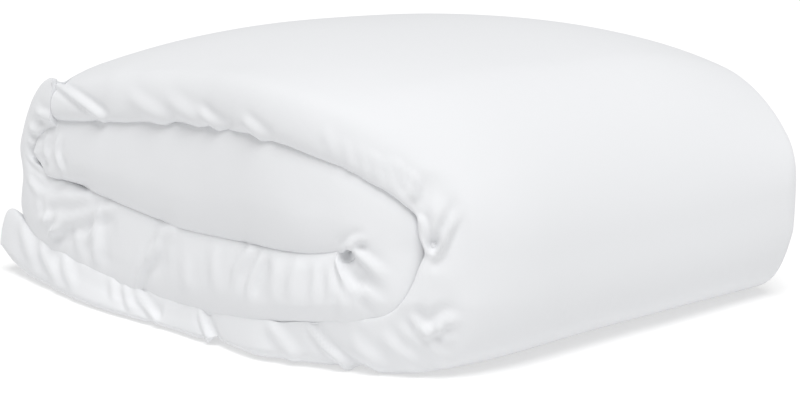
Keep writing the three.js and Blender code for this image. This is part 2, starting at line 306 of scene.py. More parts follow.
@dataclass
class Settling:
    """The shape that the whole bundle has settled into.

    Each layer's height at the open sides follows a curve along X. Away from the sides the bundle is
    crowned. In plan the corners are round, the front right one most of all. Near the surface it lies on,
    the front edge bulges in the middle of the left half, and the tail is pushed out.
    """

    roll: Roll
    crown: float = 0.385
    crown_x: float = 12 * MM
    crown_power: tuple[float, float] = (2.2, 3.2)
    # X and the heights of the four layers' upper sides at the open sides, mm
    sides: tuple[tuple[float, ...], ...] = (
        (-313, 36, 118, 166, 200),
        (-250, 34, 116, 169, 206),
        (-173, 27, 110, 172, 217),
        (-76, 18, 98, 179, 229),
        (0, 16, 89, 186, 238),
        (90, 22, 92, 190, 241),
        (164, 32, 93, 184, 236),
        (205, 38, 98, 174, 226),
        (235, 41, 112, 165, 216),
        (275, 42, 114, 166, 206),
        (313, 42, 114, 170, 202),
    )
    corner: float = 89 * MM
    corner_share: float = 0.22
    front_right: tuple[float, float, float] = (110 * MM, 84 * MM, 2.2)  # start, inset and power
    steepest: float = 0.999  # how far round a corner's circle the inset goes, so that it has no upright end
    back_right: tuple[float, float] = (1.3, 1.5)  # this corner's share of the inset, and its rise low down
    left_front: float = 0.3  # the front left corner's share of the inset
    low: float = 60 * MM  # height over which the shapes near the surface fade out
    low_inset: float = 20 * MM
    low_turn: float = 2.2
    bulge: tuple[float, float, float] = (14 * MM, -140 * MM, 95 * MM)  # reach, X and width
    left_drop: float = 15 * MM
    left_drop_x: tuple[float, float] = (225 * MM, 75 * MM)  # start and length, towards -X
    left_drop_y: tuple[float, float] = (120 * MM, 130 * MM)  # start and length, towards -Y
    left_drop_z: tuple[float, float] = (110 * MM, 0.75)  # length, and start as a share of it
    tail_push: float = 24 * MM
    tail_push_x: tuple[float, float] = (225 * MM, 80 * MM)  # start and length, towards -X
    tail_push_z: tuple[float, float] = (45 * MM, 2.3)  # length, and end as a share of it
    smoothing: int = 7  # reach of the smoothing of the sides' curves, in steps
    side_steps: int = 80
    right_round: tuple[float, float, float] = (130 * MM, 17 * MM, 2.4)  # length in Y, inset in X and power
    right_round_x: tuple[float, float] = (100 * MM, 200 * MM)  # start and length, towards +X

    def side_heights(self, x: Array, z: Array) -> Array:
        """The height at the open sides of a point whose height before settling is z."""
        roll = self.roll
        table = np.array(self.sides) * MM
        knots = np.array([0.0, roll.outer_run, roll.outer_run + roll.inner_run,
                          roll.outer_run + 2 * roll.inner_run, roll.height])
        fine = np.linspace(table[0, 0], table[-1, 0], self.side_steps)
        kernel = bell(np.linspace(-2, 2, 2 * self.smoothing + 1), 1.0)
        curves = []
        for column in table.T[1:]:
            curve = np.interp(fine, table[:, 0], column)
            padded = np.pad(curve, self.smoothing, mode="edge")
            curves.append(np.interp(x, fine, np.convolve(padded, kernel / kernel.sum(), mode="valid")))
        curves.insert(0, np.zeros_like(x))
        height = np.zeros_like(x)
        for low, high, z0, z1 in zip(curves, curves[1:], knots, knots[1:]):
            here = (z >= z0) & (z <= z1)
            height = np.where(here, low + (high - low) * (z - z0) / (z1 - z0), height)
        return np.where(z > knots[-1], curves[-1] + z - knots[-1], np.where(z < 0, z, height))

    def crowned(self, x: Array, y: Array, z: Array) -> Array:
        """The settled height: the open sides' heights, blended into the crown towards the middle.

        Formula: the blend is 1 - |y / half depth|^p, and the crown 1 - |x / reach|^q times its share of z.
        """
        roll = self.roll
        px, py = self.crown_power
        reach = roll.width / 2 + self.crown_x
        over_x = np.clip(1.0 - np.abs((x - self.crown_x) / reach) ** px, 0.0, None)
        over_y = np.clip(1.0 - np.abs(y / (roll.depth / 2)) ** py, 0.0, 1.0)
        middle = z * (1.0 + self.crown * over_x)
        return self.side_heights(x, z) * (1.0 - over_y) + middle * over_y

    def shoulder_drop(self, x: Array, y: Array, z: Array) -> Array:
        """How far the left fold's upper front corner drops: the product of smooth steps in X, Y and Z."""
        x_start, x_length = self.left_drop_x
        y_start, y_length = self.left_drop_y
        z_length, z_start = self.left_drop_z
        shoulder = smooth((-x - x_start) / x_length) * smooth(z / z_length - z_start)
        return self.left_drop * shoulder * smooth(-(y + y_start) / y_length)

    def plan_inset(self, x: Array, y: Array, z: Array) -> Array:
        """How far the front and back edges draw in.

        Formula: at a corner the inset is a share of a circle's, and at the front right one a power of the
        distance past its start. Low down the front right draws in more and the bulge, a bell, stands out.
        """
        half_width = self.roll.width / 2
        past = np.clip((np.abs(x) - (half_width - self.corner)) / self.corner, 0.0, 1.0)
        inset = self.corner * (1.0 - np.sqrt(1.0 - self.steepest * past**2)) * self.corner_share
        start, most, power = self.front_right
        turn = np.clip((x - start) / (half_width - start), 0.0, 1.2)
        low = np.clip(1.0 - z / self.low, 0.0, 1.0)
        front = most * turn**power + self.low_inset * smooth(turn * self.low_turn) * low
        reach, centre, width = self.bulge
        front = front - reach * low * bell(x - centre, width)
        at_right, at_right_low = self.back_right
        return np.where(y < 0, np.where(x > 0, front, front + self.left_front * inset),
                        np.where(x > 0, (at_right + at_right_low * low) * inset, inset))

    def settle(self, points: Array) -> Array:
        """Moves points from the plain spiral to their place in the settled bundle."""
        x, y, z = points[..., 0], points[..., 1], points[..., 2]
        half = self.roll.depth / 2
        height = self.crowned(x, y, z)
        inset = self.plan_inset(x, y, z)
        x_start, x_length = self.tail_push_x
        z_length, z_end = self.tail_push_z
        x = x - self.tail_push * smooth((-x - x_start) / x_length) * smooth(z_end - z / z_length)
        height = height - self.shoulder_drop(x, y, z)
        length, most, power = self.right_round
        edge = np.clip((np.abs(y) - (half - length)) / length, 0.0, 1.1)
        x_start, x_length = self.right_round_x
        x = x - most * edge**power * smooth((x - x_start) / x_length) * (y < 0)
        return np.stack([x, y * (1.0 - inset / half), height], -1)


@dataclass
class Section:
    """The strip's closed section across the roll, in Y and the depth from its outer side.

    The front is one round edge, where the outer ply wraps the others. It is squarer on the upper side and
    rounder below, as filling sags. The back shows the half fold of the two outer plies and the separate
    hems of the two inner ones.
    """

    depth: float
    front_share: float = 0.50
    front_least: float = 7 * MM
    back_reach: float = 12 * MM
    hem_inset: float = 5 * MM
    label_room: float = 2.5 * MM
    fine: float = 4 * MM
    coarse: float = 11 * MM
    fine_band: float = 70 * MM
    turn_steps: int = 42
    lobe_steps: int = 8
    squareness: tuple[float, float] = (2.8, 0.5)  # the edge's power, and its change above and below
    side_blend: float = 4.0  # how sharply the power changes at the middle of the edge
    curl: tuple[float, float] = (12 * MM, 9 * MM)
    wrap_curl: float = 15 * MM

    def stations(self) -> tuple[Array, Array, Array]:
        """The section's points.

        Returns:
            Three arrays of one length: Y of the point when the front edge has no reach, the front edge's
            angle from -90 to 90 degrees (not a number elsewhere), and the depth as a share of the thickness.
        """
        half = self.depth / 2
        close = np.arange(-half, -half + self.fine_band, self.fine)
        far = np.linspace(close[-1], half, int((self.depth - self.fine_band) / self.coarse))[1:]
        flat = np.concatenate([close, far])[::-1]
        turn = np.linspace(-np.pi / 2, np.pi / 2, self.turn_steps + 2)[1:-1]
        lobes = [(0.0, 0.5, self.back_reach), (0.5, 0.75, self.back_reach - self.hem_inset),
                 (0.75, 1.0, self.back_reach - self.hem_inset)]
        back_y, back_share = [], []
        for low, high, reach in reversed(lobes):
            angle = np.linspace(np.pi / 2, -np.pi / 2, self.lobe_steps + 2)[1:-1]
            back_y.append(half - self.label_room - self.back_reach + reach * np.cos(angle))
            back_share.append((low + high) / 2 + (high - low) / 2 * np.sin(angle))
        flat = np.minimum(flat, half - self.label_room - self.back_reach)
        y = np.concatenate([flat, np.full(turn.shape, -half), flat[::-1], *back_y])
        none = np.full(len(flat), np.nan)
        angle = np.concatenate([none, turn, none, np.full(sum(map(len, back_y)), np.nan)])
        share = np.concatenate([np.zeros(len(flat)), 0.5 + 0.5 * np.sin(turn), np.ones(len(flat)),
                                *back_share])
        return y, angle, share

    def front_reach(self, angle: Array, normal_z: Array, thickness: Array) -> Array:
        """How far the front edge stands out past the flats, for each row and station.

        Formula: reach times |cos a|^(2/n), where n is larger on the upper side and smaller below.

        Args:
            angle: (1, across), not a number away from the front edge.
            normal_z: (along, 1), the upward part of the strip's inward normal.
            thickness: (along, 1).
        """
        middle, change = self.squareness
        power = middle + change * np.tanh(self.side_blend * np.sin(angle) * normal_z)
        shape = np.abs(np.cos(angle)) ** (2.0 / power)
        return np.nan_to_num((self.front_share * thickness + self.front_least) * shape)

    def front_curl(self, angle: Array, normal_z: Array, core: bool) -> Array:
        """How far the front edge swells towards its neighbours, as depth from the strip's outer side.

        The upper side swells up against the run above it, and the core's lower side sags on to the run below.
        Formula: the swell times sin(2a) squared.

        Args:
            angle: (1, across), not a number away from the front edge.
            normal_z: (along, 1), the upward part of the strip's inward normal.
            core: whether the strip is the core. The top run's upper side, which is free, doesn't swell.
        """
        angle = np.nan_to_num(angle)
        upward = np.sin(angle) * normal_z > 0
        rise, sag = self.curl if core else (self.wrap_curl * (normal_z > 0), 0.0)
        return np.where(upward, rise, sag) * np.sign(angle) * np.sin(2 * angle) ** 2 * np.abs(normal_z)


# ---- Creases ----

FRONT_PLANE_Y = -268 * MM
SIGHT = (1.166, -1.061, 0.389)  # the creases at the front are laid out as seen from here


def on_front_plane(points: Array) -> Array:
    """X and Z, in mm, where the line from the sight point through a point meets the upright front plane."""
    share = (FRONT_PLANE_Y - SIGHT[1]) / (points[:, 1] - SIGHT[1])
    x = SIGHT[0] + (points[:, 0] - SIGHT[0]) * share
    z = SIGHT[2] + (points[:, 2] - SIGHT[2]) * share
    return np.stack([x, z], -1) / MM


STEP_WIDTH = 8.0  # mm over which a step rises
FADED = 3.0  # widths or reaches past which a crease is gone


@dataclass(frozen=True)
class Crease:
    """A crease pressed into the cloth along a curve on the front plane, in mm.

    Across the curve the cloth dips as a bell, with a low shoulder on both sides. A step lifts the cloth to
    the left of the curve and lets it fall back over the step's reach, as where one fold lies over another.
    """

    line: tuple[tuple[float, float], ...]
    depth: float = 2.0
    width: float = 4.0
    shoulder: float = 0.35
    step: float = 0.0
    reach: float = 14.0
    ends: tuple[float, float] = (0.2, 0.2)

    def relief(self, spots: Array) -> Array:
        """Height over the cloth in metres at places on the front plane."""
        line = bend_through(np.array(self.line, dtype=float), 5)
        total = np.zeros(len(spots))
        margin = FADED * (self.width + (self.reach if self.step else 0.0))
        low, high = line.min(0) - margin, line.max(0) + margin
        here = np.all((spots > low) & (spots < high), axis=1)
        if not here.any():
            return total
        distance, side, share = distance_to_line(spots[here, 0], spots[here, 1], line)
        taper = 1.0
        if self.ends[0]:
            taper = taper * smooth(share / self.ends[0])
        if self.ends[1]:
            taper = taper * smooth((1.0 - share) / self.ends[1])
        height = -self.depth * bell(distance, self.width)
        height += self.shoulder * self.depth * bell(distance - 2.0 * self.width, self.width)
        left = side * distance
        fall = np.exp(-np.maximum(left, 0.0) / self.reach)
        height += self.step * smooth(0.5 + left / STEP_WIDTH) * fall
        total[here] = height * taper * MM
        return total


def fan(centre: tuple[float, float], near: float, far: float, angles: tuple[float, float], count: int,
        seed: int, depth: float = 1.6, width: float = 3.5) -> tuple[Crease, ...]:
    """Creases that run out from a centre.

    Args:
        centre: where they point to, mm.
        near: the mean distance of their first ends from the centre, mm.
        far: the mean distance of their far ends, mm.
        angles: first and last direction in degrees, from +X towards +Z.
        count: how many.
        seed: seed of the small differences between them.
        depth: mean depth, mm.
        width: mean width, mm.
    """
    near_spread, far_spread, turn_spread, bow_spread = (0.7, 1.4), (0.6, 1.15), (-4, 4), (-0.12, 0.12)
    depth_spread, width_spread = (0.6, 1.3), (0.8, 1.3)
    rng = np.random.default_rng(seed)
    creases = []
    for angle in np.linspace(*angles, count):
        start, end = near * rng.uniform(*near_spread), far * rng.uniform(*far_spread)
        turn = np.radians(angle + rng.uniform(*turn_spread))
        bow = rng.uniform(*bow_spread)
        ray, side = np.array([np.cos(turn), np.sin(turn)]), np.array([-np.sin(turn), np.cos(turn)])
        middle = (start + end) / 2
        line = [centre + ray * start, centre + ray * middle + side * bow * (end - start), centre + ray * end]
        creases.append(Crease(tuple(map(tuple, line)), depth * rng.uniform(*depth_spread),
                              width * rng.uniform(*width_spread)))
    return tuple(creases)


# across the top left, where the top run ends in the left fold
LEFT_SHOULDER = Crease(((-222, 218), (-170, 202), (-112, 184)), 3.2, 3.6, step=2.6, reach=26,
                       ends=(0.05, 0.2))
CORE_CREASES = (
    LEFT_SHOULDER,
    # the lower run: soft upright folds that hang from the slit, one of them with a bright turned edge
    Crease(((-22, 92), (-48, 66), (-66, 48), (-77, 27)), 3.0, 3.4, step=4.5, reach=18, ends=(0.5, 0.05)),
    Crease(((-30, 80), (-52, 62), (-60, 56)), 2.2, 6.0),
    Crease(((-128, 100), (-142, 86), (-156, 70), (-172, 50)), 2.6, 4.2, ends=(0.3, 0.4)),
    Crease(((-140, 90), (-146, 68), (-146, 34)), 2.8, 8.0, ends=(0.4, 0.3)),
    Crease(((-186, 78), (-184, 60), (-180, 40)), 1.8, 7.0, ends=(0.4, 0.4)),
    Crease(((-105, 101), (-150, 90), (-200, 74), (-240, 55)), 4.0, 4.5, step=3.5, reach=16, ends=(0.15, 0.1)),
    Crease(((14, 86), (8, 60), (8, 32)), 1.2, 8.0, ends=(0.5, 0.4)),
    Crease(((62, 98), (52, 74), (54, 40)), 1.3, 7.0, ends=(0.4, 0.5)),
    Crease(((112, 100), (98, 88), (84, 73), (78, 52)), 2.6, 4.2, ends=(0.1, 0.5)),
    Crease(((128, 98), (114, 82), (103, 62), (99, 44)), 2.8, 4.2, step=3.0, reach=15, ends=(0.2, 0.4)),
    Crease(((146, 98), (136, 76), (134, 50)), 1.1, 7.0, ends=(0.3, 0.5)),
    Crease(((-2, 98), (-28, 90), (-46, 78)), 2.2, 5.5, ends=(0.1, 0.5)),
    Crease(((178, 100), (164, 82), (158, 56)), 1.3, 6.0, ends=(0.2, 0.5)),
    Crease(((196, 100), (194, 80), (188, 58)), 1.5, 5.0, ends=(0.1, 0.5)),
    Crease(((212, 100), (214, 84), (210, 66)), 1.6, 4.5, ends=(0.1, 0.5)),
    # the inner fold: creases that run out from the slit's end
    Crease(((238, 121), (256, 112), (289, 100)), 3.6, 4.2, ends=(0.05, 0.35)),
    Crease(((240, 88), (260, 85), (283, 73)), 4.0, 4.0, step=2.5, reach=12, ends=(0.1, 0.35)),
    Crease(((249, 86), (247, 66), (242, 42)), 4.0, 3.8, step=2.5, reach=12, ends=(0.1, 0.35)),
    Crease(((249, 74), (258, 60), (270, 48)), 3.2, 3.4, ends=(0.15, 0.35)),
    Crease(((222, 110), (230, 95), (240, 84), (250, 76)), 3.0, 4.0, step=4.0, reach=20, ends=(0.1, 0.15)),
    Crease(((226, 84), (232, 66), (232, 44)), 1.8, 6.0, ends=(0.2, 0.5)),
    Crease(((258, 129), (246, 126), (236, 120), (224, 112)), 2.8, 3.0, step=2.0, reach=14, ends=(0.15, 0.2)),
    # the left fold: folds that run round it and gather to its lower corner
    Crease(((-252, 92), (-225, 95), (-200, 100), (-150, 107)), 3.0, 5.0, step=1.4, reach=16,
           ends=(0.25, 0.1)),
    Crease(((-270, 66), (-240, 72), (-190, 86)), 2.6, 4.8, step=1.4, reach=16, ends=(0.3, 0.3)),
    Crease(((-240, 52), (-228, 60), (-208, 64)), 3.0, 4.0, ends=(0.2, 0.4)),
    Crease(((-280, 138), (-264, 129), (-246, 124), (-215, 118)), 3.0, 4.0, step=1.5, reach=12,
           ends=(0.3, 0.3)),
    Crease(((-280, 113), (-266, 102), (-240, 94)), 2.8, 4.0, step=1.5, reach=10, ends=(0.3, 0.3)),
    Crease(((-274, 166), (-256, 162), (-236, 166)), 2.6, 4.0, ends=(0.3, 0.3)),
    Crease(((-276, 150), (-262, 149), (-252, 152)), 2.0, 3.6, ends=(0.3, 0.2)),
    Crease(((-262, 184), (-236, 179), (-205, 177)), 2.8, 4.2, ends=(0.3, 0.2)),
    # the rolled end: edges of the plies
    Crease(((-226, 164), (-240, 150), (-240, 136), (-230, 124)), 2.6, 3.4, step=1.4, reach=9),
    Crease(((-206, 163), (-219, 148), (-216, 136), (-202, 120)), 2.6, 3.4, step=1.4, reach=10),
    *fan((-252, 40), 26, 66, (48, 98), 4, 11, 1.5, 4.5),
)
WRAP_CREASES = (
    LEFT_SHOULDER,
    # slanting pleats under the top run, and short gathers along its shoulder
    Crease(((-92, 216), (-50, 204), (-6, 189)), 1.7, 7.0, ends=(0.4, 0.1)),
    Crease(((-30, 218), (12, 206), (50, 193)), 1.7, 7.0, ends=(0.4, 0.1)),
    Crease(((24, 214), (50, 204), (80, 193)), 2.4, 4.0, step=1.6, reach=14, ends=(0.4, 0.05)),
    Crease(((92, 212), (118, 201), (136, 192)), 2.0, 4.0, step=1.2, reach=12, ends=(0.4, 0.05)),
    Crease(((204, 216), (216, 202), (222, 188)), 0.8, 6.0, ends=(0.4, 0.3)),
    Crease(((228, 210), (238, 196), (242, 180)), 0.9, 5.0, ends=(0.4, 0.3)),
    Crease(((248, 208), (258, 192), (262, 176)), 0.9, 5.0, ends=(0.4, 0.3)),
    Crease(((268, 204), (272, 190), (274, 174)), 2.0, 4.0, ends=(0.3, 0.4)),
    Crease(((282, 202), (288, 186), (290, 170)), 1.4, 4.5, ends=(0.4, 0.3)),
    Crease(((296, 200), (301, 186), (303, 172)), 2.2, 4.0, ends=(0.3, 0.4)),
    Crease(((316, 192), (315, 178), (311, 166)), 3.0, 4.4, ends=(0.25, 0.3)),
    # the pinch at the outer fold: a pleat tucked in between two edges
    Crease(((331, 128), (342, 134), (350, 147), (358, 160), (368, 175)), 4.6, 3.4, step=5.0, reach=18,
           ends=(0.05, 0.4)),
    Crease(((338, 150), (342, 160)), 4.0, 11.0, ends=(0.0, 0.0)),
    Crease(((331, 128), (326, 143), (321, 158)), 3.0, 4.0, ends=(0.1, 0.1)),
    # bunched cloth under it
    Crease(((312, 78), (325, 69), (338, 73), (352, 82), (374, 87)), 4.0, 4.0, step=2.2, reach=20,
           ends=(0.05, 0.4)),
    Crease(((326, 72), (336, 62), (344, 56)), 2.8, 3.8, ends=(0.1, 0.4)),
    Crease(((340, 75), (350, 68), (362, 70)), 2.6, 3.4, ends=(0.1, 0.4)),
    Crease(((292, 64), (318, 60), (342, 54), (366, 52)), 1.8, 5.5, ends=(0.2, 0.4)),
    Crease(((276, 54), (300, 46), (330, 38)), 1.7, 6.0, ends=(0.2, 0.4)),
    Crease(((236, 42), (262, 33), (288, 22)), 1.8, 6.5, ends=(0.2, 0.4)),
    # the bottom run
    Crease(((182, 45), (201, 32), (220, 25), (240, 18), (264, 12), (292, 9)), 3.2, 3.2, step=2.4, reach=12,
           ends=(0.05, 0.1)),
    Crease(((124, 38), (146, 24), (174, 6)), 1.8, 7.0, ends=(0.2, 0.2)),
    Crease(((28, 28), (34, 14), (46, -2)), 3.4, 3.6, step=4.0, reach=16, ends=(0.1, 0.0)),
    Crease(((-76, 24), (-60, 14), (-38, 2)), 2.8, 4.2, step=2.6, reach=16, ends=(0.1, 0.1)),
    Crease(((-102, 28), (-92, 14), (-84, 4)), 2.2, 5.5, ends=(0.2, 0.2)),
    Crease(((-118, 32), (-114, 8)), 1.8, 7.0, step=1.6, reach=16, ends=(0.2, 0.2)),
    Crease(((-216, 40), (-204, 22), (-186, 6)), 2.2, 9.0, ends=(0.3, 0.3)),
    Crease(((-262, 48), (-244, 28), (-218, 8)), 2.8, 9.0, ends=(0.3, 0.3)),
    Crease(((-296, 64), (-286, 40), (-268, 16)), 2.4, 10.0, ends=(0.3, 0.3)),
)


SHARP_ANGLE = 62  # degrees between faces, past which the edge between them shows as an edge


def closed_mesh(name: str, points: Array, edge: int = 0) -> bpy.types.Object:
    """A tube from a grid that closes along its second axis, with a ladder of quads over each flat end.

    Args:
        name: the object's name.
        points: grid, shape (along, across, 3), with an even number across. Apart from the edge points, its
            second half lies over its first half, reversed.
        edge: how many points, at the end of each row, make up the edge where the halves meet.

    Returns:
        The new object, linked to the scene.
    """
    along, across = points.shape[:2]
    index = np.arange(along * across).reshape(along, across)
    turned = np.roll(index, -1, axis=1)
    quads = np.stack([index[:-1], turned[:-1], turned[1:], index[1:]], -1).reshape(-1, 4)
    rung = np.arange(-(edge // 2), (across - edge) // 2)
    near, far = rung % across, (across - edge - 1 - rung) % across
    ladder = np.stack([far[:-1], far[1:], near[1:], near[:-1]], 1)
    mesh = bpy.data.meshes.new(name)
    faces = np.concatenate([quads, ladder, ladder[:, ::-1] + (along - 1) * across])
    mesh.from_pydata(points.reshape(-1, 3).tolist(), [], faces.tolist())
    mesh.polygons.foreach_set("use_smooth", np.arange(len(mesh.polygons)) < len(quads))
    mesh.update()
    mesh.set_sharp_from_angle(angle=np.radians(SHARP_ANGLE))
    piece = bpy.data.objects.new(name, mesh)
    bpy.context.scene.collection.objects.link(piece)
    return piece


# ---- The studio ----


@dataclass
class Studio:
    """A plain pale floor, one broad soft light under an even sky, and the camera."""

    azimuth: float = 47.7
    elevation: float = 10.05
    distance: float = 1.601
    target_z: float = 110 * MM
    lens: float = 69.9
    shift: tuple[float, float] = (0.0049, -0.0271)
    floor_size: float = 40.0
    floor_colour: str = "CDCDCD"
    floor_glow: float = 0.4  # lifts the floor to white, as a lit backdrop is
    sky: float = 0.46
    key: float = 2.2
    key_spread: float = 35.0  # degrees across, as wide as a large softbox
    key_from: tuple[float, float, float] = (0.36, -0.27, 0.87)

    def camera(self) -> None:
        """Makes the camera and aims it at the middle of the bundle."""
        azimuth, elevation = np.radians(self.azimuth), np.radians(self.elevation)
        back = Vector((np.sin(azimuth) * np.cos(elevation), -np.cos(azimuth) * np.cos(elevation),
                       np.sin(elevation)))
        data = bpy.data.cameras.new("camera")
        data.lens, data.sensor_width = self.lens, 36.0
        data.shift_x, data.shift_y = self.shift
        data.clip_start, data.clip_end = 0.05, 100.0
        camera = bpy.data.objects.new("camera", data)
        camera.location = Vector((0, 0, self.target_z)) + back * self.distance
        camera.rotation_euler = back.to_track_quat("Z", "Y").to_euler()
        bpy.context.scene.collection.objects.link(camera)
        bpy.context.scene.camera = camera

    def floor(self) -> None:
        """Makes a large pale floor."""
        half = self.floor_size / 2
        mesh = bpy.data.meshes.new("floor")
        mesh.from_pydata([(-half, -half, 0), (half, -half, 0), (half, half, 0), (-half, half, 0)], [],
                         [(0, 1, 2, 3)])
        floor = bpy.data.objects.new("floor", mesh)
        bpy.context.scene.collection.objects.link(floor)
        material = bpy.data.materials.new("painted_studio_floor")
        material.use_nodes = True
        shader = material.node_tree.nodes["Principled BSDF"]
        shader.inputs["Base Color"].default_value = srgb(self.floor_colour)
        shader.inputs["Roughness"].default_value = 0.9
        shader.inputs["Specular IOR Level"].default_value = 0.0
        shader.inputs["Emission Color"].default_value = srgb("FFFFFF")
        shader.inputs["Emission Strength"].default_value = self.floor_glow
        mesh.materials.append(material)
        floor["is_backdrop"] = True

    def lights(self) -> None:
        """Makes a bright even sky and one broad soft light."""
        world = bpy.data.worlds.new("studio_sky")
        world.use_nodes = True
        background = world.node_tree.nodes["Background"]
        background.inputs["Color"].default_value = srgb("FFFFFF")
        background.inputs["Strength"].default_value = self.sky
        bpy.context.scene.world = world
        sun = bpy.data.lights.new("softbox", "SUN")
        sun.energy, sun.angle = self.key, np.radians(self.key_spread)
        light = bpy.data.objects.new("softbox", sun)
        light.rotation_euler = Vector(self.key_from).to_track_quat("Z", "Y").to_euler()
        bpy.context.scene.collection.objects.link(light)
        bpy.context.scene.view_settings.view_transform = "Standard"

    def build(self) -> None:
        """Makes everything in the studio."""
        self.camera()
        self.floor()
        self.lights()


# ---- Finishes ----


def add_node(tree: bpy.types.NodeTree, kind: str, values: dict | None = None, links: dict | None = None,
             **settings: object) -> bpy.types.Node:
    """Adds a shader node.

    Args:
        tree: the material's node tree.
        kind: the node's type name.
        values: input name to its constant value.
        links: input name to the output socket that feeds it.
        settings: the node's own properties.

    Returns:
        The new node.
    """
    node = tree.nodes.new(kind)
    for key, value in settings.items():
        setattr(node, key, value)
    for key, value in (values or {}).items():
        node.inputs[key].default_value = value
    for key, socket in (links or {}).items():
        tree.links.new(socket, node.inputs[key])
    return node


@dataclass(frozen=True)
class CottonPercale:
    """White cotton percale, washed and not ironed: matt, with a faint sheen and a soft fine crumple."""

    name: str = "white_cotton_percale"
    colour: str = "E2E3E5"
    roughness: float = 0.86
    sheen: float = 0.12
    thread: float = 1.1 * MM  # real threads are 0.2 mm apart, too fine to show, so they are drawn coarser
    crumple: float = 22 * MM

    def build(self) -> bpy.types.Material:
        """Makes the material: a fine weave and a soft crumple as bump over a nearly white cloth."""
        material = bpy.data.materials.new(self.name)
        material.use_nodes = True
        tree = material.node_tree
        shader = tree.nodes["Principled BSDF"]
        shader.inputs["Base Color"].default_value = srgb(self.colour)
        shader.inputs["Roughness"].default_value = self.roughness
        shader.inputs["Sheen Weight"].default_value = self.sheen
        shader.inputs["Sheen Roughness"].default_value = 0.5
        shader.inputs["Specular IOR Level"].default_value = 0.25
        place = add_node(tree, "ShaderNodeTexCoord").outputs["Object"]
        crumple = add_node(tree, "ShaderNodeTexNoise", {"Scale": 1 / self.crumple, "Detail": 3.0,
                                                        "Roughness": 0.45}, {"Vector": place})
        soft = add_node(tree, "ShaderNodeBump", {"Strength": 0.25, "Distance": 1.2 * MM},
                        {"Height": crumple.outputs["Fac"]})
        weave = add_node(tree, "ShaderNodeTexNoise", {"Scale": 1 / self.thread, "Detail": 1.0},
                         {"Vector": place})
        fine = add_node(tree, "ShaderNodeBump", {"Strength": 0.12, "Distance": 0.15 * MM},
                        {"Height": weave.outputs["Fac"], "Normal": soft.outputs["Normal"]})
        tree.links.new(fine.outputs["Normal"], shader.inputs["Normal"])
        return material


class Stretch(Enum):
    """Which part of the spiral a padded piece is."""

    WRAP = "wrap"
    CORE = "core"


